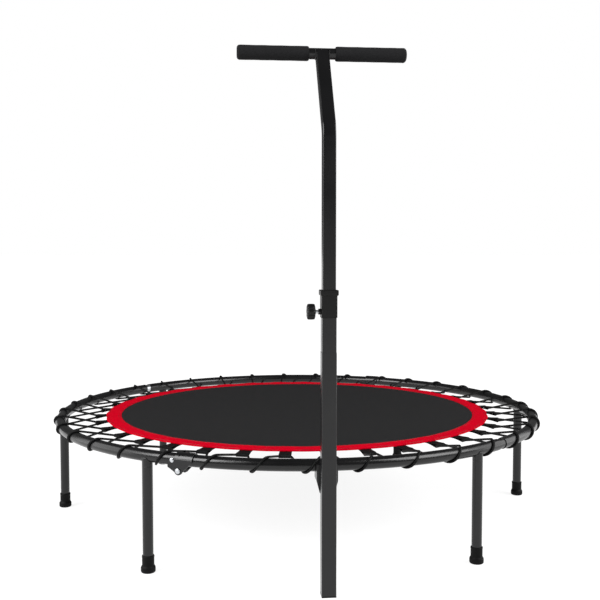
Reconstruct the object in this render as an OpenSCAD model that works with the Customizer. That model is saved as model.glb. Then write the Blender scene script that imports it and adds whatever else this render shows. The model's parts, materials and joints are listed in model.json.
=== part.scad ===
// Round fitness trampoline with a fold-in-half frame, six screw-in legs and a height-adjustable
// handle. Millimetres, +Z up. The origin is on the floor at the middle of the footprint. Angles
// around the ring are counted from the handle post (-Y side), positive towards +X.

/* [Ring] */
// Outside diameter of the ring
ring_od = 1220; // [1160:1:1260]
// Diameter of the ring tube
ring_tube_d = 25; // [25:0.5:26]
// Wall of the ring tube
ring_wall = 1.5; // [1.2:0.1:2]
// Height of the tube's centre line above the floor
ring_z = 242; // [225:1:260]
// Angle of the front fold hinge; the rear one is opposite
hinge_angle = -28.1; // [-28.5:0.1:-27.5]
// Angle of the plug-in joint on the right half
plug_angle_right = 42; // [41:0.5:43]
// Angle of the plug-in joint on the left half
plug_angle_left = -135.5; // [-137:0.5:-135.5]
// Bare length of spigot that shows in the right plug-in joint
plug_gap_right = 20; // [2:1:24]
// Bare length of spigot that shows in the left plug-in joint
plug_gap_left = 14; // [2:1:20]

/* [Hinges] */
// Depth of the fold pivot below the tube's centre line
pivot_drop = 20; // [19.5:0.5:24]
// Radius of the rounded hinge lugs
lug_r = 8.5; // [7:0.5:9]
// Thickness of the bracket's sheet steel
bracket_t = 2.5; // [2:0.1:3]
// Diameter of the pivot bolt
pivot_bolt_d = 6; // [5:0.5:8]

/* [Legs] */
// Diameter of the leg tubes
leg_d = 22; // [20:0.5:22]
// Radius at which the legs stand
leg_ring_r = 600; // [597:0.5:602]
// Diameter of the rubber foot's flange
foot_flange_d = 30.5; // [28:0.5:34]
// Height of the rubber foot's flange
foot_flange_h = 14; // [10:1:18]
// Height of the foot's sleeve above the flange
foot_sleeve_h = 22; // [15:1:30]

/* [Post] */
// Outside width of the square post
post_w = 28.5; // [28.5:0.1:30]
// Height of the seam between the lower and upper post
post_seam_z = 469; // [450:1:490]
// Top of the upper post tube
post_top_z = 577; // [560:1:590]
// Height of the knob's axis
knob_z = 546; // [540:1:552]
// Diameter of the knob
knob_d = 30; // [26:1:36]
// Thickness of the knob
knob_t = 15; // [12:1:18]

/* [Handle] */
// Width of the square handle stem
stem_w = 25; // [24:0.1:25]
// Height of the bend in the stem
bend_z = 886; // [860:1:920]
// Height of the hand bar's centre
bar_z = 1049; // [1030:1:1080]
// How far the hand bar stands in from the stem
bar_reach = 110; // [80:1:130]
// Diameter of the hand bar
bar_d = 22; // [20:0.5:22]
// Outside diameter of the foam grips
grip_d = 29; // [27:0.5:34]
// Length of each foam grip
grip_len = 142; // [120:1:160]

/* [Mat] */
// Radius of the mat with its border
mat_r = 488; // [480:0.5:489]
// Thickness of the mat's woven sheet
mat_t = 2; // [1.5:0.1:3]
// Radius at which the coloured border band starts
border_r = 450; // [430:1:465]
// Thickness of the border band, on top of the sheet
border_t = 1; // [0.6:0.1:2]
// Diameter of the bungee cord
cord_d = 5; // [4:0.1:5]
// Number of webbing tabs around the mat
tab_count = 36; // [36:1:36]

/* [Hidden] */

$fn = 64;

steel_black = [0.20, 0.20, 0.21];
steel_dark = [0.10, 0.10, 0.10];
zinc = [0.78, 0.79, 0.80];
rubber = [0.07, 0.07, 0.07];
foam = [0.13, 0.13, 0.13];
plastic = [0.09, 0.09, 0.09];
mat_grey = [0.18, 0.18, 0.18];
border_red = [0.77, 0.0, 0.12];
webbing = [0.05, 0.05, 0.05];

ring_tube_r = ring_tube_d / 2;
ring_r = (ring_od - ring_tube_d) / 2;
deg_per_mm = 180 / PI / ring_r;
rear_hinge_angle = hinge_angle + 180;
pivot_z = ring_z - pivot_drop;

// Post and ring share the footprint: its middle is half way from the collar's face to the back.
post_offset = 646.5;
collar_w = 34;
front_reach = post_offset + collar_w / 2;
rear_reach = ring_r + ring_tube_r + cord_d + 1.4;
ring_y = (front_reach - rear_reach) / 2;
post_y = ring_y - post_offset;

leg_angles_right = [34, 91.8, 142.5];
leg_angles_left = [-36, -91.8, -141.5];
leg_wall = 1.2;
leg_top_z = 221;
leg_bottom_z = 4;
stud_r = 5;
stud_len = 24;
insert_len = 20;

butt_gap = 0.7;
hood_right = 31;
hood_left = 9;
tongue_len = 26;
ear_out = 12.3;
ear_t = 2.4;
plate_in = 12.9;
plate_out = plate_in + bracket_t;
bolt_clear = 0.05;
rivet_y = -15.5;
rivet_r = 4.6;
rivet_dome_r = 3.4;
rivet_face = 13.5;

post_wall = 1.25;
upper_w = post_w - 1;
upper_inner = stem_w + 0.9;
collar_inner = stem_w + 0.8;
collar_skirt_z = 535;
collar_skirt_w = upper_w + 2.2;
collar_lip_h = 10;
boss_len = 5;
boss_r = 5.5;
shank_gap = 5;
washer_t = 1;
washer_r = 5.2;
screw_r = 3;
knob_lobes = 8;

stem_wall = 1.5;
stem_bottom_z = 385;
stem_bend_r = 45;
stem_bend_steps = 8;
lean = atan(bar_reach / (bar_z - bend_z));
bend_start_z = bend_z - stem_bend_r * tan(lean / 2);
lean_len = sqrt(pow(bar_reach, 2) + pow(bar_z - bend_z, 2)) - stem_bend_r * tan(lean / 2) + 2;
cap_t = 3;
plug_depth = 14;
bar_half = 162;
bar_wall = 1.5;
grip_start = 26.5;
grip_round = 6;

mat_z = ring_z + 3;
mat_gap = 1;
tab_w = 26;
tab_r_in = 470;
tab_r_out = 516;
tab_t = 2.4;
cord_z = mat_z - mat_t / 2 - tab_t - cord_d / 2 - 0.4;
cord_tab_r = 512;
wrap_r = ring_tube_r + cord_d / 2 + 1.6;

// ---------- placing helpers ----------

// Local frame on the ring: +X radially out, +Y towards larger angles, +Z up from the floor.
module on_ring(angle, r = ring_r, z = 0) {
    translate([0, ring_y, 0]) rotate([0, 0, angle - 90]) translate([r, 0, z]) children();
}

// Ring-following bar of circular section between two angles; a1 > a0.
module ring_bar(a0, a1, radius, z = ring_z) {
    translate([0, ring_y, z]) rotate([0, 0, a0 - 90])
        rotate_extrude(angle = a1 - a0, $fn = 128) translate([ring_r, 0]) circle(radius);
}

module ring_tube(a0, a1) {
    difference() {
        ring_bar(a0, a1, ring_tube_r);
        ring_bar(a0 - 1, a1 + 1, ring_tube_r - ring_wall);
    }
}

module square_tube(w, inner, z0, z1) {
    difference() {
        translate([-w / 2, -w / 2, z0]) cube([w, w, z1 - z0]);
        translate([-inner / 2, -inner / 2, z0 - 1]) cube([inner, inner, z1 - z0 + 2]);
    }
}

// ---------- ring and its plug-in joints ----------

half_gap = butt_gap / 2 * deg_per_mm;
half_plug_right = plug_gap_right / 2 * deg_per_mm;
half_plug_left = plug_gap_left / 2 * deg_per_mm;

module ring_arc_front() {
    color(steel_black) ring_tube(hinge_angle + half_gap, plug_angle_right - half_plug_right);
}

module ring_arc_right() {
    color(steel_black) ring_tube(plug_angle_right + half_plug_right, rear_hinge_angle - half_gap);
}

module ring_arc_rear() {
    color(steel_black)
        ring_tube(rear_hinge_angle + half_gap, plug_angle_left + 360 - half_plug_left);
}

module ring_arc_left() {
    color(steel_black) ring_tube(plug_angle_left + half_plug_left, hinge_angle - half_gap);
}

spigot_half = 50 * deg_per_mm;
spigot_r = ring_tube_r - ring_wall - 0.05;

module spigot(angle) {
    difference() {
        ring_bar(angle - spigot_half, angle + spigot_half, spigot_r);
        ring_bar(angle - spigot_half - 1, angle + spigot_half + 1, spigot_r - 1.5);
    }
}

module spigot_right() { color(steel_dark) spigot(plug_angle_right); }
module spigot_left() { color(zinc) spigot(plug_angle_left); }

// ---------- fold hinges ----------
// Hinge parts are drawn at the front hinge, right half towards +Y; the rear hinge mirrors them.

module at_hinge(front) {
    if (front) on_ring(hinge_angle) children();
    else on_ring(rear_hinge_angle) mirror([0, 1, 0]) children();
}

// Ring-following bar in the hinge's own frame, from y0 to y1 along the tube.
module local_bar(y0, y1, radius) {
    translate([-ring_r, 0, ring_z]) rotate([0, 0, y0 * deg_per_mm])
        rotate_extrude(angle = (y1 - y0) * deg_per_mm, $fn = 128)
            translate([ring_r, 0]) circle(radius);
}

// Upright plate across the radial direction, from x0 outwards, with its outline in (y, z).
module plate(x0, t) {
    translate([x0, 0, 0]) rotate([90, 0, 90]) linear_extrude(t) children();
}

module pivot_hole(r) {
    translate([-30, 0, pivot_z]) rotate([0, 90, 0]) cylinder(h = 60, r = r);
}

module bracket_outline() {
    polygon([[-hood_left, ring_z + 3], [hood_right, ring_z + 3], [hood_right, ring_z - 1],
        [lug_r - 1, pivot_z - 4], [-lug_r + 1, pivot_z - 4], [-hood_left, ring_z - 4]]);
    translate([0, pivot_z]) circle(lug_r);
}

module hinge_bracket() {
    difference() {
        union() {
            intersection() {
                local_bar(-hood_left, hood_right, plate_out);
                translate([-30, -40, ring_z]) cube([60, 100, 30]);
            }
            plate(plate_in, bracket_t) bracket_outline();
            plate(-plate_out, bracket_t) bracket_outline();
        }
        local_bar(-40, 60, ring_tube_r);
        local_bar(-40, butt_gap, ring_tube_r + 0.45);
        pivot_hole(pivot_bolt_d / 2 + bolt_clear);
    }
}

module tongue_outline() {
    difference() {
        union() {
            polygon([[-tongue_len, ring_z - 3], [-1, ring_z - 3], [-1, pivot_z], [-6, pivot_z - 6],
                [-tongue_len, ring_z - 14]]);
            translate([0, pivot_z]) circle(lug_r);
        }
        translate([0, pivot_z]) circle(pivot_bolt_d / 2 + 0.08);
    }
}

module hinge_tongue() {
    difference() {
        union() {
            plate(ear_out - ear_t, ear_t) tongue_outline();
            plate(-ear_out, ear_t) tongue_outline();
        }
        local_bar(-60, 40, ring_tube_r);
    }
}

module hinge_bracket_front() { color(steel_black) at_hinge(true) hinge_bracket(); }
module hinge_bracket_rear() { color(steel_black) at_hinge(false) hinge_bracket(); }
module hinge_tongue_front() { color(steel_black) at_hinge(true) hinge_tongue(); }
module hinge_tongue_rear() { color(steel_black) at_hinge(false) hinge_tongue(); }

bolt_head_r = 5.5;
bolt_head_t = 3.5;
nut_af = 10;
nut_t = 5;

module hinge_bolt() {
    translate([-plate_out - nut_t - 2, 0, pivot_z]) rotate([0, 90, 0])
        cylinder(h = 2 * plate_out + nut_t + 2, r = pivot_bolt_d / 2);
    translate([plate_out, 0, pivot_z]) rotate([0, 90, 0]) {
        cylinder(h = bolt_head_t - 1, r = bolt_head_r);
        translate([0, 0, bolt_head_t - 1]) cylinder(h = 1, r = bolt_head_r - 1.2);
    }
}

module hinge_nut() {
    translate([-plate_out - nut_t, 0, pivot_z]) rotate([0, 90, 0]) difference() {
        cylinder(h = nut_t, r = nut_af / sqrt(3), $fn = 6);
        translate([0, 0, -1]) cylinder(h = nut_t + 2, r = pivot_bolt_d / 2);
    }
}

// Domed rivet head on the tube's outer wall, at the tongue's root; it just bites into the tube.
module hinge_rivet() {
    foot_x = ring_tube_r - 0.15;
    translate([foot_x, rivet_y, ring_z]) rotate([0, 90, 0]) {
        cylinder(h = rivet_face - foot_x, r = rivet_r);
        translate([0, 0, rivet_face - foot_x]) cylinder(h = 0.8, r = rivet_dome_r);
    }
}

module hinge_bolts() { color(zinc) for (front = [true, false]) at_hinge(front) hinge_bolt(); }
module hinge_nuts() { color(zinc) for (front = [true, false]) at_hinge(front) hinge_nut(); }

module hinge_rivets() { color(zinc) for (front = [true, false]) at_hinge(front) hinge_rivet(); }

// ---------- legs and feet ----------

module leg_sockets(angles) {
    for (a = angles) difference() {
        on_ring(a, leg_ring_r) translate([0, 0, leg_top_z])
            cylinder(h = ring_z - leg_top_z - 2, r = leg_d / 2);
        ring_bar(a - 3, a + 3, ring_tube_r);
        on_ring(a, leg_ring_r) translate([0, 0, leg_top_z - 1]) cylinder(h = 7, r = stud_r);
    }
}

module leg_studs(angles) {
    for (a = angles) on_ring(a, leg_ring_r, leg_top_z + 6 - stud_len)
        cylinder(h = stud_len, r = stud_r);
}

module leg_inserts(angles) {
    for (a = angles) on_ring(a, leg_ring_r, leg_top_z - insert_len) difference() {
        cylinder(h = insert_len, r = leg_d / 2 - leg_wall);
        translate([0, 0, -1]) cylinder(h = insert_len + 2, r = stud_r);
    }
}

module leg(angle) {
    color(steel_black) on_ring(angle, leg_ring_r, leg_bottom_z) difference() {
        cylinder(h = leg_top_z - leg_bottom_z, r = leg_d / 2);
        translate([0, 0, -1])
            cylinder(h = leg_top_z - leg_bottom_z + 2, r = leg_d / 2 - leg_wall);
    }
}

// Moulded rubber foot: a sleeve up the tube over a wider flange with rounded edges.
module foot(angle) {
    sleeve_r = leg_d / 2 + 1.7;
    flange_r = foot_flange_d / 2;
    edge = 2.5;
    top = foot_flange_h + foot_sleeve_h;
    color(rubber) on_ring(angle, leg_ring_r) difference() {
        union() {
            cylinder(h = edge, r1 = flange_r - edge * 0.6, r2 = flange_r);
            translate([0, 0, edge]) cylinder(h = foot_flange_h - 2 * edge, r = flange_r);
            translate([0, 0, foot_flange_h - edge])
                cylinder(h = edge, r1 = flange_r, r2 = sleeve_r + 0.4);
            cylinder(h = top, r = sleeve_r);
        }
        translate([0, 0, leg_bottom_z]) cylinder(h = top, r = leg_d / 2);
    }
}

module leg_sockets_right() { color(steel_black) leg_sockets(leg_angles_right); }
module leg_sockets_left() { color(steel_black) leg_sockets(leg_angles_left); }
module leg_studs_right() { color(zinc) leg_studs(leg_angles_right); }
module leg_studs_left() { color(zinc) leg_studs(leg_angles_left); }
module leg_inserts_right() { color(zinc) leg_inserts(leg_angles_right); }
module leg_inserts_left() { color(zinc) leg_inserts(leg_angles_left); }

// ---------- post and its clamp ----------

module at_post() { translate([0, post_y, 0]) children(); }

web_w = 41.5;
web_t = 3;
web_bottom_z = 195;
web_shoulder_z = 218;
web_top_z = 250;
flange_top_z = ring_z - 6;
post_back = post_y + post_w / 2;
bracket_reach = ring_y - ring_r + 3;
post_bolt_z = [206, 225];
post_bolt_r = 4;

module web_outline() {
    half = web_w / 2;
    polygon([[-half, web_top_z], [half, web_top_z], [half, web_shoulder_z],
        [half - 6, web_bottom_z], [-half + 6, web_bottom_z], [-half, web_shoulder_z]]);
}

// Channel welded under the ring: a web against the post and two side flanges back to the tube.
module post_bracket() {
    color(steel_black) difference() {
        union() {
            translate([0, post_back + web_t, 0]) rotate([90, 0, 0])
                linear_extrude(web_t) web_outline();
            for (s = [-1, 1]) translate([s * (web_w - web_t) / 2 - web_t / 2, 0, 0])
                rotate([90, 0, 90]) linear_extrude(web_t)
                    polygon([[post_back + 1, web_top_z], [post_back + web_t + 4, web_top_z],
                        [post_back + web_t + 8, flange_top_z], [bracket_reach, flange_top_z],
                        [bracket_reach, web_shoulder_z], [post_back + 1, web_shoulder_z]]);
        }
        ring_bar(-4, 4, ring_tube_r);
        for (z = post_bolt_z) translate([0, post_back - 1, z]) rotate([-90, 0, 0])
            cylinder(h = 10, r = post_bolt_r);
    }
}

module post_bolts() {
    color(zinc) for (z = post_bolt_z) translate([0, post_back, z]) rotate([-90, 0, 0]) {
        translate([0, 0, -post_wall - 4]) cylinder(h = post_wall + 4 + web_t, r = post_bolt_r);
        translate([0, 0, web_t]) cylinder(h = 5, r = 13 / sqrt(3), $fn = 6);
    }
}

module post_lower() {
    color(steel_black) difference() {
        at_post() square_tube(post_w, post_w - 2 * post_wall, cap_t, post_seam_z);
        for (z = post_bolt_z) translate([0, post_back - 5, z]) rotate([-90, 0, 0])
            cylinder(h = 10, r = post_bolt_r);
    }
}

module post_upper() {
    color(steel_black) difference() {
        at_post() square_tube(upper_w, upper_inner, post_seam_z, post_top_z);
        lock_hole(screw_r + 1.5);
    }
}

module post_base_plug() {
    inner = post_w - 2 * post_wall;
    color(plastic) at_post() union() {
        translate([-post_w / 2, -post_w / 2, 0]) cube([post_w, post_w, cap_t]);
        translate([-inner / 2, -inner / 2, cap_t]) cube([inner, inner, plug_depth]);
    }
}

module lock_hole(r) {
    translate([0, post_y, knob_z]) rotate([0, -90, 0]) cylinder(h = 40, r = r);
}

module post_collar() {
    color(plastic) difference() {
        at_post() union() {
            translate([-collar_skirt_w / 2, -collar_skirt_w / 2, collar_skirt_z])
                cube([collar_skirt_w, collar_skirt_w, post_top_z - collar_skirt_z]);
            translate([-collar_w / 2, -collar_w / 2, post_top_z])
                cube([collar_w, collar_w, collar_lip_h]);
        }
        at_post() translate([-upper_w / 2, -upper_w / 2, collar_skirt_z - 1])
            cube([upper_w, upper_w, post_top_z - collar_skirt_z + 1]);
        at_post() translate([-collar_inner / 2, -collar_inner / 2, post_top_z - 1])
            cube([collar_inner, collar_inner, collar_lip_h + 2]);
        lock_hole(screw_r + 1.5);
    }
}

boss_face = -collar_skirt_w / 2;
washer_face = boss_face - boss_len - shank_gap;

module along_lock(x) { translate([x, post_y, knob_z]) rotate([0, -90, 0]) children(); }

module lock_boss() {
    color(steel_dark) along_lock(boss_face) difference() {
        cylinder(h = boss_len, r = boss_r);
        translate([0, 0, -1]) cylinder(h = boss_len + 2, r = screw_r + bolt_clear);
    }
}

module lock_washer() {
    color(plastic) along_lock(washer_face) difference() {
        cylinder(h = washer_t, r = washer_r);
        translate([0, 0, -1]) cylinder(h = washer_t + 2, r = screw_r + bolt_clear);
    }
}

knob_face = washer_face - washer_t - 0.3;
screw_tip = -stem_w / 2 - 0.4;

module lock_screw() {
    color(zinc) along_lock(screw_tip) cylinder(h = screw_tip - knob_face + 10, r = screw_r);
}

// Moulded knob with finger lobes round its rim.
module lock_knob() {
    lobe_r = knob_d * 0.13;
    color(plastic) along_lock(knob_face) difference() {
        linear_extrude(knob_t) union() {
            circle(knob_d / 2 - lobe_r * 0.45);
            for (i = [0:knob_lobes - 1]) rotate(i * 360 / knob_lobes)
                translate([knob_d / 2 - lobe_r, 0]) circle(lobe_r);
        }
        translate([0, 0, -1]) cylinder(h = 11, r = screw_r);
    }
}

// ---------- handle ----------

// Side outline of the bent stem, as (y, z) points offset by half a width from its centre line.
function stem_side(offset, extra) = concat(
    [[offset, stem_bottom_z - extra]],
    [for (i = [0:stem_bend_steps]) let (a = lean * i / stem_bend_steps)
        [stem_bend_r - (stem_bend_r - offset) * cos(a),
            bend_start_z + (stem_bend_r - offset) * sin(a)]],
    [[stem_bend_r - (stem_bend_r - offset) * cos(lean) + (lean_len + extra) * sin(lean),
        bend_start_z + (stem_bend_r - offset) * sin(lean) + (lean_len + extra) * cos(lean)]]);

function reversed(p) = [for (i = [len(p) - 1:-1:0]) p[i]];

module stem_shape(w, extra) {
    at_post() plate(-w / 2, w)
        polygon(concat(stem_side(-w / 2, extra), reversed(stem_side(w / 2, extra))));
}

module along_bar(x) {
    translate([x, post_y + bar_reach, bar_z]) rotate([0, 90, 0]) children();
}

module handle_stem() {
    color(steel_dark) difference() {
        stem_shape(stem_w, 0);
        stem_shape(stem_w - 2 * stem_wall, 1);
        along_bar(-60) cylinder(h = 120, r = bar_d / 2);
    }
}

module stem_glide() {
    inner = stem_w - 2 * stem_wall;
    color(plastic) at_post() union() {
        translate([-stem_w / 2, -stem_w / 2, stem_bottom_z - cap_t])
            cube([stem_w, stem_w, cap_t]);
        translate([-inner / 2, -inner / 2, stem_bottom_z]) cube([inner, inner, plug_depth]);
    }
}

module hand_bar() {
    color(steel_dark) along_bar(-bar_half) difference() {
        cylinder(h = 2 * bar_half, r = bar_d / 2);
        translate([0, 0, -1]) cylinder(h = 2 * bar_half + 2, r = bar_d / 2 - bar_wall);
    }
}

module bar_plugs() {
    color(plastic) for (s = [-1, 1]) along_bar(s * (bar_half - 6) - 6)
        cylinder(h = 12, r = bar_d / 2 - bar_wall);
}

// Foam sleeve with a closed, rounded outer end, drawn along +X from its inner end.
module grip_shape() {
    rotate_extrude() difference() {
        union() {
            square([grip_d / 2, grip_len - grip_round]);
            square([grip_d / 2 - grip_round, grip_len]);
            translate([grip_d / 2 - grip_round, grip_len - grip_round]) circle(grip_round);
        }
        translate([0, -1]) square([bar_d / 2, bar_half - grip_start + 1]);
        translate([-grip_d, -1]) square([grip_d, grip_len + 2]);
    }
}

module grip_right() { color(foam) along_bar(grip_start) grip_shape(); }

module grip_left() {
    color(foam) mirror([1, 0, 0]) along_bar(grip_start) grip_shape();
}

// ---------- mat, tabs and bungee ----------

// Half space on one side of the fold line; side = 1 is the right half, -1 the left.
module half_space(side, gap) {
    size = 1600;
    translate([0, ring_y, 0]) rotate([0, 0, hinge_angle - 90])
        translate([-size / 2, side > 0 ? gap / 2 : -size - gap / 2, -10]) cube([size, size, 700]);
}

module mat_half(side) {
    intersection() {
        translate([0, ring_y, mat_z - mat_t / 2]) cylinder(h = mat_t, r = mat_r, $fn = 180);
        half_space(side, mat_gap);
    }
}

module border_half(side) {
    intersection() {
        translate([0, ring_y, mat_z + mat_t / 2]) difference() {
            cylinder(h = border_t, r = mat_r, $fn = 180);
            translate([0, 0, -1]) cylinder(h = border_t + 2, r = border_r, $fn = 180);
        }
        half_space(side, mat_gap);
    }
}

module tab(angle) {
    on_ring(angle, 0, mat_z - mat_t / 2 - tab_t)
        translate([tab_r_in, -tab_w / 2, 0]) cube([tab_r_out - tab_r_in, tab_w, tab_t]);
}

tab_step = 360 / tab_count;
half_count = tab_count / 2;

module tabs_half(side) {
    for (i = [1:half_count - 1]) tab(hinge_angle + side * i * tab_step);
    intersection() {
        union() {
            tab(hinge_angle);
            tab(rear_hinge_angle);
        }
        half_space(side, mat_gap);
    }
}

module mat_right() { color(mat_grey) mat_half(1); }
module mat_left() { color(mat_grey) mat_half(-1); }
module mat_border_right() { color(border_red) border_half(1); }
module mat_border_left() { color(border_red) border_half(-1); }
module mat_tabs_right() { color(webbing) tabs_half(1); }
module mat_tabs_left() { color(webbing) tabs_half(-1); }

// The cord leaves each tab, goes over the ring 2.7 degrees on, down round the outside, and
// comes back from under the tube to the next tab, 10 degrees on.
wrap_turns = [98, 49, 0, -49, -98];
wrap_top = 2.7;
wrap_bottom = 6.0;
// The first turn beside the rear hinge sits further on, clear of the bracket's hood.
rear_start_shift = 1.2;

function ring_point(angle, r, z) = [r * sin(angle), ring_y - r * cos(angle), z];

function wrap_points(tab_angle) = [
    for (k = [0:4]) let (t = wrap_turns[k])
        ring_point(tab_angle - wrap_top - k / 4 * (wrap_bottom - wrap_top),
            ring_r + wrap_r * cos(t), ring_z + wrap_r * sin(t)),
];

// Points through tab i, on the side given by lead: 1 before the tab's middle, -1 after it.
function tab_point(tab_angle, lead) = ring_point(tab_angle + lead * 0.9, cord_tab_r, cord_z);

// Each half is laced by one cord, from the tab at its high-angle end to the one at its low end.
function lace_points(first, count, start_shift = 0) = concat(
    [tab_point(first, -1)],
    [for (i = [0:count - 1]) each concat(
        wrap_points(first - i * tab_step - (i == 0 ? start_shift : 0)),
        [tab_point(first - (i + 1) * tab_step, 1)],
        i < count - 1 ? [tab_point(first - (i + 1) * tab_step, -1)] : [])]);

function unit(v) = v / norm(v);

function tangent(p, i) = let (n = len(p)) unit(p[min(i + 1, n - 1)] - p[max(i - 1, 0)]);

// A side direction carried along the cord without twist, one for each point.
function carried(p) = [
    for (i = 0, side = unit(cross(tangent(p, 0), [0, 0, 1])); i < len(p);
        i = i + 1,
        t = i < len(p) ? tangent(p, i) : [0, 0, 1],
        side = i < len(p) ? unit(side - (side * t) * t) : side)
        side,
];

CORD_SIDES = 6;

// Closed tube swept along a list of points.
module cord(p) {
    n = len(p);
    sides = carried(p);
    rings = [for (i = [0:n - 1]) let (up = cross(sides[i], tangent(p, i)))
        for (k = [0:CORD_SIDES - 1]) p[i] + cord_d / 2 *
            (sides[i] * cos(k * 360 / CORD_SIDES) + up * sin(k * 360 / CORD_SIDES))];
    walls = [for (i = [0:n - 2], k = [0:CORD_SIDES - 1]) let (
            a = i * CORD_SIDES + k,
            b = i * CORD_SIDES + (k + 1) % CORD_SIDES)
        each [[a, b, b + CORD_SIDES], [a, b + CORD_SIDES, a + CORD_SIDES]]];
    ends = [[for (k = [CORD_SIDES - 1:-1:0]) k],
        [for (k = [0:CORD_SIDES - 1]) (n - 1) * CORD_SIDES + k]];
    polyhedron(rings, concat(walls, ends));
}

module bungee_right() {
    color(webbing) cord(lace_points(rear_hinge_angle, half_count, rear_start_shift));
}

module bungee_left() { color(webbing) cord(lace_points(hinge_angle, half_count)); }

// ---------- drawing ----------

ring_arc_front();
ring_arc_right();
ring_arc_rear();
ring_arc_left();
hinge_bracket_front();
hinge_bracket_rear();
hinge_tongue_front();
hinge_tongue_rear();
hinge_bolts();
hinge_nuts();
hinge_rivets();
spigot_right();
spigot_left();
leg_sockets_right();
leg_sockets_left();
leg_studs_right();
leg_studs_left();
leg_inserts_right();
leg_inserts_left();
leg(leg_angles_right[0]);  // leg_front_right
leg(leg_angles_right[1]);  // leg_side_right
leg(leg_angles_right[2]);  // leg_rear_right
leg(leg_angles_left[0]);  // leg_front_left
leg(leg_angles_left[1]);  // leg_side_left
leg(leg_angles_left[2]);  // leg_rear_left
foot(leg_angles_right[0]);  // foot_front_right
foot(leg_angles_right[1]);  // foot_side_right
foot(leg_angles_right[2]);  // foot_rear_right
foot(leg_angles_left[0]);  // foot_front_left
foot(leg_angles_left[1]);  // foot_side_left
foot(leg_angles_left[2]);  // foot_rear_left
post_bracket();
post_bolts();
post_lower();
post_upper();
post_base_plug();
post_collar();
lock_boss();
lock_washer();
lock_screw();
lock_knob();
handle_stem();
stem_glide();
hand_bar();
bar_plugs();
grip_left();
grip_right();
mat_right();
mat_left();
mat_border_right();
mat_border_left();
mat_tabs_right();
mat_tabs_left();
bungee_right();
bungee_left();
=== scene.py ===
import json
import math
import bmesh
import bpy
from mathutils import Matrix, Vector


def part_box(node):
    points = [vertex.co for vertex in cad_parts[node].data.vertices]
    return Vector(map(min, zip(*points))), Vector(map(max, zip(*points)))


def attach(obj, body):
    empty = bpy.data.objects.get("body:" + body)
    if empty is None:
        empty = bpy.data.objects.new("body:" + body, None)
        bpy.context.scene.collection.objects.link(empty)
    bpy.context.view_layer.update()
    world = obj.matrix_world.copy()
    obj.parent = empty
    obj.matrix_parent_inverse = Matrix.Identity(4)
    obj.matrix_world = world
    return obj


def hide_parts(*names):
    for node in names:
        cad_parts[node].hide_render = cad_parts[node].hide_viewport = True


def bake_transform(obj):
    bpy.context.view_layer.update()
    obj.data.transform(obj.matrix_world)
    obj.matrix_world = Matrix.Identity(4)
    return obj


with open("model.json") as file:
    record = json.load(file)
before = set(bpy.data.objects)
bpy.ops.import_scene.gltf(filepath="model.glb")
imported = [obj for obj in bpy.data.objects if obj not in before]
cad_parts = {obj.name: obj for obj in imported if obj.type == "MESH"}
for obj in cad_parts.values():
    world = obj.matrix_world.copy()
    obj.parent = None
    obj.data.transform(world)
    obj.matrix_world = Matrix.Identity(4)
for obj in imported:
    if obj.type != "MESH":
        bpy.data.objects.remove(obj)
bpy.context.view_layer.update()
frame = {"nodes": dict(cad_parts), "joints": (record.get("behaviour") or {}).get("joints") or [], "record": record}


# ---------------------------------------------------------------------------------- studio
# A camera a little above the ring and left of the post, a pale paper floor that runs out to
# a white backdrop, two large soft boxes overhead and two weak panels at the sides. The room
# around them is dim, so that the black coats keep dark edges.

scene = bpy.context.scene
scene.view_settings.view_transform = "Standard"


def add(tree, kind, inputs=(), **settings):
    """Adds a node with its settings; inputs are plain values, or sockets to link."""
    node = tree.nodes.new(kind)
    for key, value in settings.items():
        setattr(node, key, value)
    for key, value in dict(inputs).items():
        if isinstance(value, bpy.types.NodeSocket):
            tree.links.new(value, node.inputs[key])
        else:
            node.inputs[key].default_value = value
    return node


def linear(hex_colour):
    """An sRGB hex colour as linear RGBA."""
    channels = [int(hex_colour[i:i + 2], 16) / 255 for i in (1, 3, 5)]
    return [c / 12.92 if c <= 0.04045 else ((c + 0.055) / 1.055) ** 2.4 for c in channels] + [1]


def new_material(name, colour, roughness, **surface):
    """A named finish with its plain values set; returns it, its tree and its shader."""
    material = bpy.data.materials.new(name)
    material.use_nodes = True
    shader = material.node_tree.nodes["Principled BSDF"]
    shader.inputs["Base Color"].default_value = linear(colour)
    shader.inputs["Roughness"].default_value = roughness
    for key, value in surface.items():
        shader.inputs[key.replace("_", " ")].default_value = value
    return material, material.node_tree, shader


camera_data = bpy.data.cameras.new("camera")
camera_data.lens = 54.35
camera = bpy.data.objects.new("camera", camera_data)
camera.location = (-0.217, -2.315, 0.662)
camera.rotation_euler = [math.radians(angle) for angle in (86.84, 0, -5.49)]
scene.collection.objects.link(camera)
scene.camera = camera

for name, watts, size, place in (("soft_box_left", 150, 2.2, (-2.6, -1.7, 2.3)),
                                 ("soft_box_right", 125, 2.2, (2.6, -1.7, 2.3)),
                                 ("side_panel_left", 22, 1.8, (-2.4, 0.1, 0.95)),
                                 ("side_panel_right", 22, 1.8, (2.4, 0.1, 0.95))):
    soft_box = bpy.data.lights.new(name, "AREA")
    soft_box.energy = watts
    soft_box.size = size
    lamp = bpy.data.objects.new(name, soft_box)
    lamp.location = place
    aim = Vector((0, 0, 0.3)) - lamp.location
    lamp.rotation_euler = aim.to_track_quat("-Z", "Y").to_euler()
    scene.collection.objects.link(lamp)

world = bpy.data.worlds.new("white_surround")
world.use_nodes = True
scene.world = world
sky = world.node_tree
seen = add(sky, "ShaderNodeLightPath").outputs["Is Camera Ray"]
glow = add(sky, "ShaderNodeMapRange", {"Value": seen, "To Min": 0.12, "To Max": 1.0})
sky.links.new(glow.outputs["Result"], sky.nodes["Background"].inputs["Strength"])
sky.nodes["Background"].inputs["Color"].default_value = (1, 1, 1, 1)

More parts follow.
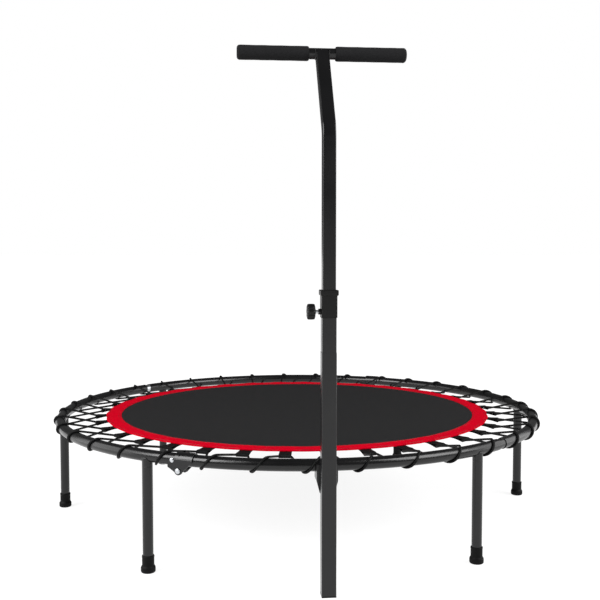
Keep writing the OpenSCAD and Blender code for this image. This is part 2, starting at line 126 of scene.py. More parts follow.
# The floor glows by itself, at strength 0.88 within 0.6 m of the centre rising to 1.0 at 2.5 m. This painted glow
# is dimmer round the object, a painted pool of shade, and fades into the white backdrop beyond.
paper, tree, shader = new_material("floor_paper", "#7C7C7C", 0.9, Specular_IOR_Level=0.0,
                                   Emission_Color=(1, 1, 1, 1))
place = add(tree, "ShaderNodeTexCoord").outputs["Object"]
away = add(tree, "ShaderNodeVectorMath", {0: place}, operation="LENGTH").outputs["Value"]
spread = add(tree, "ShaderNodeMapRange", {"Value": away, "From Min": 0.6, "From Max": 2.5,
                                          "To Min": 0.88, "To Max": 1.0})
tree.links.new(spread.outputs["Result"], shader.inputs["Emission Strength"])
floor_size = 200
bpy.ops.mesh.primitive_plane_add(size=floor_size)
floor = bpy.context.object
floor.name = "floor"
floor.data.materials.append(paper)


# ------------------------------------------------------------------------------ ring tubes
# Four bent lengths of 25 mm steel tube that plug together over two spigots and meet at the
# two fold hinges. Each is bent, has its fittings welded on, and is then powder coated.

bodies = frame["record"]["behaviour"]["bodies"]
body_of = {node: body for body, nodes in bodies.items() for node in nodes}
fold = next(joint for joint in frame["joints"] if joint["name"] == "frame_fold")
ring_centre = Vector((fold["pos_m"][0], fold["pos_m"][1], 0))
arc_low, arc_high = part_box("ring_arc_right")
ring_z = (arc_low.z + arc_high.z) / 2
tube_r = (arc_high.z - arc_low.z) / 2
ring_r = arc_high.x - tube_r


def on_ring(angle, radius, z):
    """The point at an angle in degrees round the ring from the post, towards +X."""
    turn = math.radians(angle)
    return ring_centre + Vector((radius * math.sin(turn), -radius * math.cos(turn), z))


def noise(tree, size, detail=2.0):
    """A cloudy pattern whose blotches are about size metres across."""
    place = add(tree, "ShaderNodeTexCoord").outputs["Object"]
    pattern = add(tree, "ShaderNodeTexNoise", {"Vector": place, "Scale": 1 / size, "Detail": detail})
    return pattern.outputs["Fac"]


def ribs(tree, place, period, direction="X", phase=0.0):
    """Parallel ribs across a direction, one every period metres."""
    pattern = add(tree, "ShaderNodeTexWave", {"Vector": place, "Scale": math.pi / 10 / period,
                                              "Phase Offset": phase}, bands_direction=direction)
    return pattern.outputs["Fac"]


def textured(tree, shader, height, depth, strength=1.0):
    """Raises the surface by a pattern, depth metres from its lowest to its highest."""
    bump = add(tree, "ShaderNodeBump", {"Height": height, "Strength": strength, "Distance": depth})
    tree.links.new(bump.outputs["Normal"], shader.inputs["Normal"])


def varied(tree, shader, socket, pattern, low, high):
    """Lets a pattern carry one of the surface's values between low and high."""
    spread = add(tree, "ShaderNodeMapRange", {"Value": pattern, "From Min": 0.3, "From Max": 0.7,
                                              "To Min": low, "To Max": high})
    tree.links.new(spread.outputs["Result"], shader.inputs[socket])


def tinted(tree, shader, pattern, low, high):
    """Lets a pattern carry the colour between two hex colours."""
    mix = add(tree, "ShaderNodeMix", {"Factor": pattern, "A": linear(low), "B": linear(high)},
              data_type="RGBA")
    tree.links.new(mix.outputs["Result"], shader.inputs["Base Color"])


def powder_coat(name, low, high, roughness):
    """Polyester powder coat on steel: dark, satin, with faint orange peel every 2 to 3 mm that
    breaks up the highlight, and a gloss that is a little patchy."""
    material, tree, shader = new_material(name, low, roughness, Specular_IOR_Level=0.42)
    tinted(tree, shader, noise(tree, 0.05), low, high)
    textured(tree, shader, noise(tree, 0.0025), 0.00005, 0.5)
    varied(tree, shader, "Roughness", noise(tree, 0.08), roughness - 0.05, roughness + 0.05)
    return material


def paint(material, *nodes):
    """Gives CAD parts that are kept as they are their finish."""
    for node in nodes:
        frame["nodes"][node].data.materials[0] = material


frame_coat = powder_coat("satin_powder_coat", "#0A0A0B", "#0F0F10", 0.24)
paint(frame_coat, "ring_arc_front", "ring_arc_right", "ring_arc_rear", "ring_arc_left",
      "spigot_right")


# --------------------------------------------------------------------------- steel fittings
# Hinge brackets and tongues pressed from 2.5 mm sheet, and the channel that carries the
# post. Pressing and shot-blasting leave every edge slightly rounded under the coat.

def edges_of(form, chosen):
    """The sharp edges of a form that a rule picks."""
    return [edge for edge in form.edges if len(edge.link_faces) == 2
            and edge.calc_face_angle(0) > math.radians(30) and chosen(edge)]


def finished(name, mesh, material):
    """A smooth piece in one finish, with only its real corners left sharp."""
    piece = bpy.data.objects.new(name, mesh)
    scene.collection.objects.link(piece)
    mesh.materials.clear()
    mesh.materials.append(material)
    mesh.shade_smooth()
    mesh.set_sharp_from_angle(angle=math.radians(35))
    return piece


def stand_for(piece, *nodes):
    """The piece shows in place of these CAD parts, which are hidden, and moves as they do."""
    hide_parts(*nodes)
    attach(piece, body_of[nodes[0]])
    return piece


def softened(node, edge, material, segments=2, chosen=lambda edge: True):
    """A copy of a CAD part with its corners rounded by edge metres, standing in for it."""
    mesh = frame["nodes"][node].data.copy()
    form = bmesh.new()
    form.from_mesh(mesh)
    bmesh.ops.remove_doubles(form, verts=form.verts, dist=1e-6)
    bmesh.ops.dissolve_limit(form, angle_limit=math.radians(0.3), verts=form.verts,
                             edges=form.edges)
    bmesh.ops.bevel(form, geom=edges_of(form, chosen), offset=edge, segments=segments,
                    profile=0.5, affect="EDGES", clamp_overlap=False)
    form.to_mesh(mesh)
    form.free()
    piece = stand_for(finished(node + "_finished", mesh, material), node)
    piece.modifiers.new("flats_stay_flat", "WEIGHTED_NORMAL").keep_sharp = True
    return piece


for node in ("hinge_bracket_front", "hinge_bracket_rear", "hinge_tongue_front",
             "hinge_tongue_rear", "post_bracket"):
    softened(node, 0.0005, frame_coat)

# Bright zinc plating keeps the fasteners a cold grey, with a soft sparkle in the plate.
zinc, tree, shader = new_material("bright_zinc_plate", "#C6C9CC", 0.26, Metallic=1.0)
varied(tree, shader, "Roughness", noise(tree, 0.003), 0.2, 0.34)
for node in ("hinge_bolts", "hinge_nuts", "hinge_rivets", "post_bolts"):
    softened(node, 0.0006, zinc)
paint(zinc, "spigot_left", "lock_screw")


# ------------------------------------------------------------------------ legs and their feet
# Six straight tubes that screw up into sockets under the ring on steel studs, each with a
# moulded rubber foot pushed over its end. The sockets are welded on before coating.

LEG_PLACES = [f"{place}_{side}" for side in ("right", "left") for place in ("front", "side", "rear")]
leg_parts = [f"leg_{place}" for place in LEG_PLACES]
for node in leg_parts:
    softened(node, 0.0004, frame_coat)
paint(frame_coat, "leg_sockets_right", "leg_sockets_left")
paint(zinc, "leg_studs_right", "leg_studs_left", "leg_inserts_right", "leg_inserts_left")


def carried_frames(path, closed=False):
    """Each point of a path with two directions across it, carried along without twist."""
    last = len(path) - 1
    frames = []
    side = None
    for i, point in enumerate(path):
        after = path[(i + 1) % len(path)] if closed else path[min(i + 1, last)]
        before = path[i - 1] if closed else path[max(i - 1, 0)]
        tangent = (after - before).normalized()
        start = side if side else tangent.cross(Vector((0.1, 0.2, 1)))
        side = (start - start.dot(tangent) * tangent).normalized()
        frames.append((point, side, tangent.cross(side)))
    return frames


def loft(name, loops, closed=False, lengths=None):
    """A skin over a row of loops. closed joins the last loop to the first, otherwise both ends
    are capped. The UV map holds the distance along, in metres, and the share of a turn."""
    count, rows = len(loops[0]), len(loops)
    steps = [0.0]
    for row in range(1, rows + 1):
        here, before = loops[row % rows], loops[row - 1]
        middle = sum(here, Vector()) / count - sum(before, Vector()) / count
        steps.append(steps[-1] + middle.length)
    faces, corners = [], []
    for row in range(rows if closed else rows - 1):
        a, b = row * count, (row + 1) % rows * count
        for k in range(count):
            n = (k + 1) % count
            faces.append((a + k, a + n, b + n, b + k))
            low, high, left, right = steps[row], steps[row + 1], k / count, (k + 1) / count
            corners += [(low, left), (low, right), (high, right), (high, left)]
    if not closed:
        faces.append(tuple(reversed(range(count))))
        faces.append(tuple(range((rows - 1) * count, rows * count)))
        corners += [(0.0, 0.0)] * count + [(steps[rows - 1], 0.0)] * count
    mesh = bpy.data.meshes.new(name)
    mesh.from_pydata([point for loop in loops for point in loop], [], faces)
    layer = mesh.uv_layers.new(name="along")
    for corner, place in zip(layer.data, corners):
        corner.uv = place
    form = bmesh.new()
    form.from_mesh(mesh)
    bmesh.ops.recalc_face_normals(form, faces=form.faces)
    form.to_mesh(mesh)
    form.free()
    return mesh


def circle(centre, across, up, radius, sides):
    """Points round a centre, in the plane of two directions."""
    turns = [2 * math.pi * k / sides for k in range(sides)]
    return [centre + (across * math.cos(t) + up * math.sin(t)) * radius for t in turns]


def turned(name, start, along, profile, sides=48):
    """A shape turned on a lathe: profile holds (distance along, radius) pairs."""
    axis = along.normalized()
    across = axis.orthogonal().normalized()
    up = axis.cross(across)
    return loft(name, [circle(start + axis * distance, across, up, radius, sides)
                       for distance, radius in profile])


def bead(name, path, radius, closed=False, sides=8):
    """A weld bead along a path, with the ripples that each dip of the rod leaves."""
    ripple = 0.0022
    loops, run, before = [], 0.0, path[0]
    for point, side, up in carried_frames(path, closed):
        run += (point - before).length
        before = point
        swell = radius * (1 + 0.1 * math.cos(2 * math.pi * run / ripple))
        loops.append(circle(point, side, up, swell, sides))
    return loft(name, loops, closed)


def merged(name, meshes, material):
    """Several meshes as one piece."""
    form = bmesh.new()
    for mesh in meshes:
        form.from_mesh(mesh)
    whole = bpy.data.meshes.new(name)
    form.to_mesh(whole)
    form.free()
    return finished(name, whole, material)


def leg_centre(node):
    """The leg's place on the floor."""
    low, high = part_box(node)
    return Vector(((low.x + high.x) / 2, (low.y + high.y) / 2, 0))


leg_low, leg_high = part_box("leg_side_right")
leg_r = (leg_high.y - leg_low.y) / 2


def socket_weld(node):
    """Path of the weld where a leg socket meets the underside of the ring tube."""
    centre = leg_centre(node)
    out = (centre - ring_centre).normalized()
    along = Vector((0, 0, 1)).cross(out)
    offset = (centre - ring_centre).length - ring_r
    count = 60
    path = []
    for step in range(count):
        turn = 2 * math.pi * step / count
        across = offset + leg_r * math.cos(turn)
        drop = math.sqrt(max(tube_r ** 2 - across ** 2, 0.003 ** 2))
        path.append(centre + out * leg_r * math.cos(turn) + along * leg_r * math.sin(turn)
                    + Vector((0, 0, ring_z - drop)))
    return path


for side in ("right", "left"):
    welds = [bead("weld", socket_weld(node), 0.0014, True) for node in leg_parts if side in node]
    piece = merged(f"socket_welds_{side}", welds, frame_coat)
    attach(piece, f"frame_{side}")

# Moulded rubber is nearly black and dull, with a fine spark grain from the mould.
rubber, tree, shader = new_material("moulded_rubber", "#090909", 0.6, Specular_IOR_Level=0.12)
textured(tree, shader, noise(tree, 0.0008), 0.00008, 0.6)
FOOT_PROFILE = [(0, 0.0118), (0.0005, 0.0132), (0.0014, 0.0145), (0.0028, 0.01515),
                (0.009, 0.01525), (0.0112, 0.01505), (0.0128, 0.0143), (0.0140, 0.01325),
                (0.0155, 0.0127), (0.018, 0.01262), (0.031, 0.01262), (0.0318, 0.0129),
                (0.034, 0.0130), (0.0352, 0.0128), (0.0358, 0.0123), (0.036, 0.0117),
                (0.0355, 0.01103)]
for place in LEG_PLACES:
    mesh = turned(f"foot_{place}_moulded", leg_centre(f"leg_{place}"), Vector((0, 0, 1)),
                  FOOT_PROFILE + [(0.004, 0.01103)])
    stand_for(finished(mesh.name, mesh, rubber), f"foot_{place}")


# ------------------------------------------------------------------------------------ post
# Two lengths of square tube with 2.5 mm corners, plugged at the foot, with a moulded collar
# round the mouth that the handle's stem slides through.

def long_corner(edge):
    """Whether an edge is one of the long outer corners of a square tube."""
    across = [abs(face.normal.x) > 0.9 for face in edge.link_faces]
    along = [abs(face.normal.y) > 0.8 for face in edge.link_faces]
    return any(across) and any(along) and edge.is_convex


softened("post_lower", 0.0025, frame_coat, 4, long_corner)
softened("post_upper", 0.0025, frame_coat, 4, long_corner)

# ABS with a spark-eroded mould grain: near black, and shiny only at a glance.
plastic, tree, shader = new_material("moulded_abs", "#090909", 0.4, Specular_IOR_Level=0.25)
textured(tree, shader, noise(tree, 0.0007), 0.00006, 0.6)
softened("post_collar", 0.0012, plastic, 3)
softened("post_base_plug", 0.0008, plastic)


# ------------------------------------------------------------------------------------ clamp
# A lobed knob on a screw that runs in through a welded nut boss and presses on the stem.
# Knob and washer are moulded; the boss has the handle's coat.

handle_coat = powder_coat("black_powder_coat", "#080809", "#0C0C0D", 0.26)
softened("lock_boss", 0.0005, handle_coat)
softened("lock_washer", 0.0002, plastic)

knob_low, knob_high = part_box("lock_knob")
knob_r = (knob_high.z - knob_low.z) / 2
knob_t = knob_high.x - knob_low.x
knob_centre = Vector((knob_high.x, (knob_low.y + knob_high.y) / 2, (knob_low.z + knob_high.z) / 2))
KNOB_CROWN = [(0.0, 0.62), (0.0, 0.80), (0.03, 0.90), (0.10, 0.965), (0.25, 0.995), (0.5, 1.0),
              (0.75, 0.995), (0.90, 0.96), (0.97, 0.90), (1.0, 0.80), (1.0, 0.62), (0.985, 0.60),
              (0.955, 0.58), (0.95, 0.20)]
KNOB_LOBES = 8
KNOB_STEPS = 96
lobe_depth = 0.0022
loops = []
for distance, share in KNOB_CROWN:
    loop = []
    for step in range(KNOB_STEPS):
        turn = 2 * math.pi * step / KNOB_STEPS
        hollow = lobe_depth * (0.5 - 0.5 * math.cos(KNOB_LOBES * turn)) ** 2 * (share > 0.7)
        radius = knob_r * share - hollow
        loop.append(knob_centre + Vector((-knob_t * distance, radius * math.cos(turn),
                                          radius * math.sin(turn))))
    loops.append(loop)
stand_for(finished("clamp_knob", loft("clamp_knob", loops), plastic), "lock_knob")


# ----------------------------------------------------------------------------------- handle
# A bent square stem with a glide plug at its foot, and a round bar welded through its top
# with a foam sleeve on each arm.

softened("handle_stem", 0.0022, handle_coat, 4, long_corner)
paint(plastic, "stem_glide", "bar_plugs")
paint(handle_coat, "hand_bar")

bar_low, bar_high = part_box("hand_bar")
bar_centre = (bar_low + bar_high) / 2
bar_r = (bar_high.z - bar_low.z) / 2
stem_half = (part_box("handle_stem")[1].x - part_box("handle_stem")[0].x) / 2
welds = []
for side in (-1, 1):
    path = [bar_centre + Vector((side * (stem_half + 0.0003), bar_r * math.cos(turn),
                                 bar_r * math.sin(turn)))
            for turn in [math.radians(angle) for angle in range(150, 351, 5)]]
    welds.append(bead("weld", path, 0.0013))
piece = merged("bar_welds", welds, handle_coat)
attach(piece, "handle")

# Closed-cell foam: charcoal, quite dull, with skin pores under a millimetre across that are
# drawn at 1.2 mm so that they show.
foam, tree, shader = new_material("closed_cell_foam", "#101011", 0.92, Specular_IOR_Level=0.1)
place = add(tree, "ShaderNodeTexCoord").outputs["Object"]
pores = add(tree, "ShaderNodeTexVoronoi", {"Vector": place, "Scale": 1 / 0.0012})
textured(tree, shader, pores.outputs["Distance"], 0.0003, 0.5)
tinted(tree, shader, noise(tree, 0.004), "#151516", "#1F1F20")

GRIP_STEPS = 16
for side, name in ((1, "grip_right"), (-1, "grip_left")):
    low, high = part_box(name)
    grip_r = (high.z - low.z) / 2
    length = high.x - low.x
    inner = low.x if side > 0 else -high.x
    start = Vector((side * inner, bar_centre.y, bar_centre.z))
    profile = [(0.004, bar_r + 0.0001), (0.0006, bar_r + 0.0001), (0.0, bar_r + 0.0006),
               (0.0, grip_r - 0.0022), (0.0005, grip_r - 0.0012), (0.0018, grip_r - 0.0004),
               (0.004, grip_r)]
    for step in range(1, GRIP_STEPS):
        share = step / GRIP_STEPS
        wobble = 0.00012 * math.sin(23 * share + side)
        profile.append((0.004 + (length - 0.012) * share, grip_r - 0.00012 + wobble))
    for angle in range(0, 91, 15):
        turn = math.radians(angle)
        profile.append((length - 0.006 + 0.006 * math.sin(turn),
                        grip_r - 0.006 + 0.006 * math.cos(turn)))
    profile += [(length - 0.0004, grip_r - 0.0085), (length - 0.0008, 0.002)]
    mesh = turned(name + "_foam", start, Vector((side, 0, 0)), profile)
    piece = stand_for(finished(mesh.name, mesh, foam), name)


# -------------------------------------------------------------------------------- jumping mat
# One round of black woven polypropylene, stretched flat. It crosses the fold line.

mat_r = 0.488
still_r = 0.41
edge_draw = 0.0009
ripple_height = 0.0004
TAB_COUNT = 36
hinge_angle = math.degrees(math.atan2(fold["axis"][0], -fold["axis"][1]))
mat_low, mat_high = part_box("mat_right")


def tab_pull(angle):
    """How the tabs pull at the cloth: 1 at a tab, -1 half way between two."""
    return math.cos(math.radians((angle - hinge_angle) * TAB_COUNT))


def edge_radius(angle):
    """Radius of the mat's edge: the tabs pull it out, and it draws in a little between them."""
    return mat_r - edge_draw * (1 - tab_pull(angle))


def ripple(angle, radius):
    """Height of the shallow waves that the tabs pull into the outermost cloth."""
    rise = max(0.0, (radius - still_r) / (mat_r - still_r)) ** 2
    return ripple_height * tab_pull(angle) * rise


def bends(piece, slot, *nodes):
    """The piece stands for its CAD solids, which are hidden; its placement is baked into its mesh."""
    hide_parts(*nodes)
    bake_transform(piece)


SEGMENTS, MAT_RINGS = 360, 60
form = bmesh.new()
layers = []
for z in (mat_high.z, mat_low.z):
    rings = [[form.verts.new(ring_centre + Vector((0, 0, z)))]]
    for ring in range(1, MAT_RINGS + 1):
        row = []
        for segment in range(SEGMENTS):
            angle = 360 * segment / SEGMENTS
            radius = edge_radius(angle) * ring / MAT_RINGS
            row.append(form.verts.new(on_ring(angle, radius, z + ripple(angle, radius))))
        rings.append(row)
    layers.append(rings)
for rings in layers:
    for k in range(SEGMENTS):
        form.faces.new((rings[0][0], rings[1][k], rings[1][(k + 1) % SEGMENTS]))
    for inner, outer in zip(rings[1:], rings[2:]):
        for k in range(SEGMENTS):
            n = (k + 1) % SEGMENTS
            form.faces.new((inner[k], outer[k], outer[n], inner[n]))
for k in range(SEGMENTS):
    n = (k + 1) % SEGMENTS
    form.faces.new((layers[0][-1][k], layers[1][-1][k], layers[1][-1][n], layers[0][-1][n]))
bmesh.ops.recalc_face_normals(form, faces=form.faces)
mesh = bpy.data.meshes.new("jumping_mat")
form.to_mesh(mesh)
form.free()

# Woven polypropylene tape: charcoal black, with a dull sheen that turns between warp and weft,
# given by its roughness and also painted into the colour as a painted highlight. The tapes are
# 1.5 mm wide, drawn at 2.5 mm so that the weave shows.
mat_weave, tree, shader = new_material("woven_polypropylene", "#1C1C1D", 0.6,
                                       Specular_IOR_Level=0.1)
tape = 0.0025
place = add(tree, "ShaderNodeTexCoord").outputs["Object"]
warp, weft = (ribs(tree, place, tape, direction, -math.pi / 2) for direction in ("X", "Y"))
over = add(tree, "ShaderNodeTexChecker", {"Vector": place, "Scale": 1 / tape,
                                          "Color1": (1, 1, 1, 1), "Color2": (0, 0, 0, 1)})
weave_height_and_shade = add(tree, "ShaderNodeMix", {"Factor": over.outputs["Fac"], "A": warp, "B": weft})
textured(tree, shader, weave_height_and_shade.outputs["Result"], 0.0006, 0.8)
# Painted highlight and painted shade: the weave height paints each tape lighter on its crown and darker where it
# dips under the crossing tape.
tinted(tree, shader, weave_height_and_shade.outputs["Result"], "#161616", "#29292A")
varied(tree, shader, "Roughness", over.outputs["Fac"], 0.56, 0.64)
mat = finished("jumping_mat", mesh, mat_weave)


# ------------------------------------------------------------------------------- border band
# A red woven polyester band sewn round the top of the mat and turned under its edge, with
# two rows of stitching along each side.

band_r = 0.450
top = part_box("mat_border_right")[1].z
BAND_SECTION = [("inner", 0.0, -0.0013), ("inner", 0.0001, -0.0004), ("inner", 0.0008, 0.0),
                ("inner", 0.0032, -0.00015), ("inner", 0.006, 0.00005), ("inner", 0.013, 0.0001),
                ("outer", -0.013, 0.0001), ("outer", -0.006, 0.00005), ("outer", -0.0032, -0.00015),
                ("outer", -0.0006, -0.0001), ("outer", 0.0002, -0.0008), ("outer", 0.0004, -0.0018),
                ("outer", 0.0001, -0.0030), ("outer", -0.0006, -0.0034), ("outer", -0.004, -0.0034),
                ("outer", -0.004, -0.0030), ("outer", -0.0006, -0.0030), ("outer", -0.0003, -0.0012)]
BAND_STEPS = 720
loops = []
for step in range(BAND_STEPS):
    angle = 360 * step / BAND_STEPS
    loop = []
    for side, shift, drop in BAND_SECTION:
        radius = (band_r if side == "inner" else edge_radius(angle)) + shift
        loop.append(on_ring(angle, radius, top + drop + ripple(angle, radius)))
    loops.append(loop)
band_mesh = loft("border_band", loops, closed=True)

# Red polyester cloth: saturated, matt, with a fine rib across the band every 1.2 mm.
band_cloth, tree, shader = new_material("red_polyester_cloth", "#B4001A", 0.75,
                                        Specular_IOR_Level=0.02)
place = add(tree, "ShaderNodeUVMap", uv_map="along").outputs["UV"]
rib = ribs(tree, place, 0.0012)
textured(tree, shader, rib, 0.0002, 0.4)
tinted(tree, shader, noise(tree, 0.02), "#AF0018", "#BF001C")
band = finished("border_band", band_mesh, band_cloth)

# Geometry Nodes that set copies of one part round the mat's centre.
around = bpy.data.node_groups.new("set_around", "GeometryNodeTree")
for socket, kind in (("Part", "Object"), ("Count", "Int"), ("Start angle", "Float"),
                     ("Centre", "Vector"), ("Finish", "Material")):
    around.interface.new_socket(socket, in_out="INPUT", socket_type="NodeSocket" + kind)
around.interface.new_socket("Geometry", in_out="OUTPUT", socket_type="NodeSocketGeometry")
given = add(around, "NodeGroupInput").outputs
points = add(around, "GeometryNodePoints", {"Count": given["Count"], "Position": given["Centre"]})
spacing = add(around, "ShaderNodeMath", {0: 2 * math.pi, 1: given["Count"]}, operation="DIVIDE")
index = add(around, "GeometryNodeInputIndex").outputs[0]
facing = add(around, "ShaderNodeMath", {0: index, 1: spacing.outputs[0],
                                        2: given["Start angle"]}, operation="MULTIPLY_ADD")
spin = add(around, "ShaderNodeCombineXYZ", {"Z": facing.outputs[0]})
part = add(around, "GeometryNodeObjectInfo", {"Object": given["Part"]})
copies = add(around, "GeometryNodeInstanceOnPoints",
             {"Points": points.outputs[0], "Instance": part.outputs["Geometry"],
              "Rotation": spin.outputs[0]})
solid = add(around, "GeometryNodeRealizeInstances", {0: copies.outputs[0]})
coated = add(around, "GeometryNodeSetMaterial",
             {"Geometry": solid.outputs[0], "Material": given["Finish"]})
add(around, "NodeGroupOutput", {0: coated.outputs[0]})


def set_around(name, part_mesh, count, start, material):
    """A part, drawn on the line from the centre towards +X, repeated right round."""
    part = bpy.data.objects.new(name + "_part", part_mesh)
    scene.collection.objects.link(part)
    draft = bpy.data.objects.new(name + "_draft", bpy.data.meshes.new(name))
    scene.collection.objects.link(draft)
    modifier = draft.modifiers.new("set_around", "NODES")
    modifier.node_group = around
    values = {"Part": part, "Count": count, "Start angle": math.radians(start),
              "Centre": ring_centre, "Finish": material}
    for item in around.interface.items_tree:
        if item.in_out == "INPUT":
            modifier[item.identifier] = values[item.name]
    evaluated = draft.evaluated_get(bpy.context.evaluated_depsgraph_get())
    mesh = bpy.data.meshes.new_from_object(evaluated)
    for used in (draft, part):
        bpy.data.objects.remove(used)
    return finished(name, mesh, material)


def stitch(radius, z, length, thread):
    """One stitch lying along the seam, half sunk in the cloth."""
    loops = []
    for share, swell in ((-0.5, 0.35), (-0.3, 1.0), (0.3, 1.0), (0.5, 0.35)):
        loops.append([Vector((radius + thread * swell * math.cos(2 * math.pi * k / 6),
                              length * share,
                              z + thread * swell * math.sin(2 * math.pi * k / 6)))
                      for k in range(6)])
    return loft("stitch", loops)


# Bonded nylon thread, dark red: a twist every 0.6 mm, smooth enough to catch a small glint.
thread, tree, shader = new_material("bonded_thread", "#7A0014", 0.5, Specular_IOR_Level=0.3)
twist = noise(tree, 0.0006)
textured(tree, shader, twist, 0.0001, 0.6)
tinted(tree, shader, twist, "#680010", "#8C0018")
STITCH_COUNT = 760
SEAM_RADII = (0.4532, 0.4572, 0.4808, 0.4846)
stitch_length = 0.0029
thread_r = 0.00035
seam_part = merged("seam_part", [stitch(radius, top - 0.0001, stitch_length, thread_r)
                                 for radius in SEAM_RADII], thread)
seam_mesh = seam_part.data
bpy.data.objects.remove(seam_part)
seams = set_around("border_stitching", seam_mesh, STITCH_COUNT, 0, thread)


# ------------------------------------------------------------------------------ webbing tabs
# Thirty-six loops of black 26 mm webbing, sewn under the edge of the mat; each is folded
# back round the bungee cord.

tab_w = 0.026
strap_t = 0.0012
cord_r = 0.0025
cord_at = Vector((0.512, 0, 0.2395))
turn_r = cord_r + 0.0003 + strap_t / 2
strap_top = mat_low.z - strap_t / 2 - 0.0004
strap_under = strap_top - strap_t - 0.0001
route = [(0.462, strap_top), (0.478, strap_top), (0.488, strap_top), (0.498, strap_top - 0.0004)]
for angle in range(90, -111, -20):
    turn = math.radians(angle)
    route.append((cord_at.x + turn_r * math.cos(turn), cord_at.z + turn_r * math.sin(turn)))
route += [(0.503, 0.2384), (0.496, 0.2401), (0.489, strap_under - 0.0004),
          (0.482, strap_under), (0.462, strap_under)]


def strap_loop(route, thickness, width):
    """Mesh of a flat strap that follows a route of (radius, height), with thinner selvedges."""
    points = [Vector((radius, 0, z)) for radius, z in route]
    loops = []
    for y, share in ((-0.5, 0.45), (-0.465, 1.0), (0.465, 1.0), (0.5, 0.45)):
        above, below = [], []
        for i, point in enumerate(points):
            ahead = points[min(i + 1, len(points) - 1)] - points[max(i - 1, 0)]
            normal = Vector((-ahead.z, 0, ahead.x)).normalized() * thickness / 2 * share
            shift = Vector((0, width * y, 0))
            above.append(point + normal + shift)
            below.append(point - normal + shift)
        loops.append(above + below[::-1])
    mesh = loft("strap", loops)
    form = bmesh.new()
    form.from_mesh(mesh)
    ends = [face for face in form.faces if len(face.verts) > 4]
    bmesh.ops.triangulate(form, faces=ends)
    form.to_mesh(mesh)
    form.free()
    return mesh


# Polyester webbing: deep black and matt, with sixteen fine cords woven along it, each painted
# lighter on its crown and darker in the groove beside it: painted highlight and painted shade.
webbing, tree, shader = new_material("polyester_webbing", "#070708", 0.68,
                                     Specular_IOR_Level=0.12)
place = add(tree, "ShaderNodeUVMap", uv_map="along").outputs["UV"]
cord_rise_and_shade = ribs(tree, place, tab_w / 16)
textured(tree, shader, cord_rise_and_shade, 0.0004, 0.7)
# Painted shade and painted highlight: the cords' height paints the grooves darker and the crowns lighter.
tinted(tree, shader, cord_rise_and_shade, "#030303", "#0D0D0E")
tabs = set_around("webbing_tabs", strap_loop(route, strap_t, tab_w), TAB_COUNT,
                  hinge_angle - 90, webbing)

bends(mat, "mat_fabric", "mat_right", "mat_left")
bends(band, "border_fabric", "mat_border_right", "mat_border_left")
bends(seams, "border_fabric")
bends(tabs, "webbing", "mat_tabs_right", "mat_tabs_left")


# ------------------------------------------------------------------------------ bungee cords
# Two 5 mm cords, one laced round each half of the ring: out of a tab, over the tube, down
# round it, and back from underneath to the next tab, ten degrees on.

TAB_STEP = 360 / TAB_COUNT
half_count = TAB_COUNT // 2
lead_angle = 1.3
tail_angle = 0.3
top_angle, under_angle = 2.7, 6.0
wrap_start, wrap_end, wrap_step = 100, -96, 14
wrap_r = tube_r + cord_r - 0.0001


def tab_point(angle, shift):
    """Where the cord runs in a tab's loop."""
    return on_ring(angle + shift, cord_at.x, cord_at.z)


def lacing(first, start_shift=0.0):
    """The cord's route from the tab at its high-angle end, down through eighteen tabs."""
    route = [tab_point(first, -tail_angle), tab_point(first, -lead_angle)]
    for i in range(half_count):
        tab = first - i * TAB_STEP
        shift = start_shift if i == 0 else 0.0
        for turn in range(wrap_start, wrap_end - 1, -wrap_step):
            share = (wrap_start - turn) / (wrap_start - wrap_end)
            angle = tab - shift - top_angle - share * (under_angle - top_angle)
            swing = math.radians(turn)
            route.append(on_ring(angle, ring_r + wrap_r * math.cos(swing),
                                 ring_z + wrap_r * math.sin(swing)))
        route.append(tab_point(tab - TAB_STEP, lead_angle))
        if i < half_count - 1:
            route.append(tab_point(tab - TAB_STEP, -lead_angle))
    return route + [tab_point(first - half_count * TAB_STEP, tail_angle)]


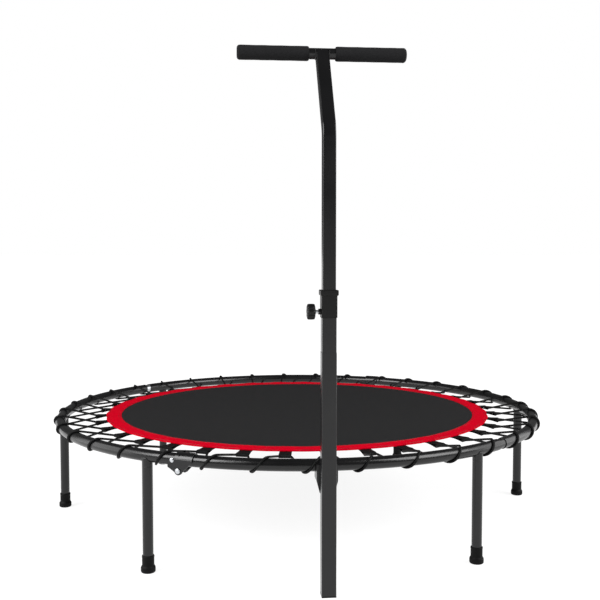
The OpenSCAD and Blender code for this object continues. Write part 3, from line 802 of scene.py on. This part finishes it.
def drawn_tight(points, step, bend):
    """A curve through the points that is straight between them and turns within bend metres."""
    last = len(points) - 1
    heads = []
    for i, point in enumerate(points):
        before = (point - points[max(i - 1, 0)]).normalized() if i else Vector()
        after = (points[i + 1] - point).normalized() if i < last else Vector()
        heads.append((before + after).normalized())
    path = []
    for i in range(last):
        a, b = points[i], points[i + 1]
        pull = min((b - a).length, bend)
        count = max(1, round((b - a).length / step))
        for k in range(count):
            s = k / count
            path.append(a * (2 * s ** 3 - 3 * s ** 2 + 1) + heads[i] * pull * (s ** 3 - 2 * s ** 2 + s)
                        + b * (3 * s ** 2 - 2 * s ** 3) + heads[i + 1] * pull * (s ** 3 - s ** 2))
    return path + [points[last]]


# Braided polyester sheath over latex: black, with diamonds that each carry a dull glint from
# their bump and a painted highlight: each is painted lighter in its middle and darker along the
# edges where the strands meet, which is painted shade.
braid, tree, shader = new_material("braided_sheath", "#060607", 0.6, Specular_IOR_Level=0.15)
place = add(tree, "ShaderNodeUVMap", uv_map="along").outputs["UV"]
split = add(tree, "ShaderNodeSeparateXYZ", {0: place})
strands = []
for hand in (4, -4):
    along = add(tree, "ShaderNodeMath", {0: split.outputs["X"], 1: 1 / 0.005},
                operation="MULTIPLY")
    twist = add(tree, "ShaderNodeMath", {0: split.outputs["Y"], 1: hand, 2: along.outputs[0]},
                operation="MULTIPLY_ADD")
    wave = add(tree, "ShaderNodeMath", {0: twist.outputs[0], 1: math.pi}, operation="MULTIPLY")
    strands.append(add(tree, "ShaderNodeMath", {0: wave.outputs[0]}, operation="SINE").outputs[0])
crossing = add(tree, "ShaderNodeMath", {0: strands[0], 1: strands[1]}, operation="MULTIPLY")
diamond = add(tree, "ShaderNodeMath", {0: crossing.outputs[0]}, operation="ABSOLUTE").outputs[0]
textured(tree, shader, diamond, 0.0004, 0.7)
# Painted highlight and painted shade: the diamonds' height paints their middles lighter and their edges darker.
tinted(tree, shader, diamond, "#040404", "#0C0C0D")

# The right cord's first wrap starts a little further on, clear of the rear hinge bracket.
CORD_SIDES = 10
cord_step = 0.004
cord_bend = 0.016
hinge_clearance = 1.2
for side, first, shift in (("right", hinge_angle + 180, hinge_clearance),
                           ("left", hinge_angle, 0.0)):
    path = drawn_tight(lacing(first, shift), cord_step, cord_bend)
    loops = [circle(point, across, up, cord_r, CORD_SIDES)
             for point, across, up in carried_frames(path)]
    cord = finished(f"bungee_cord_{side}", loft(f"bungee_cord_{side}", loops), braid)
    bends(cord, "bungee", f"bungee_{side}")
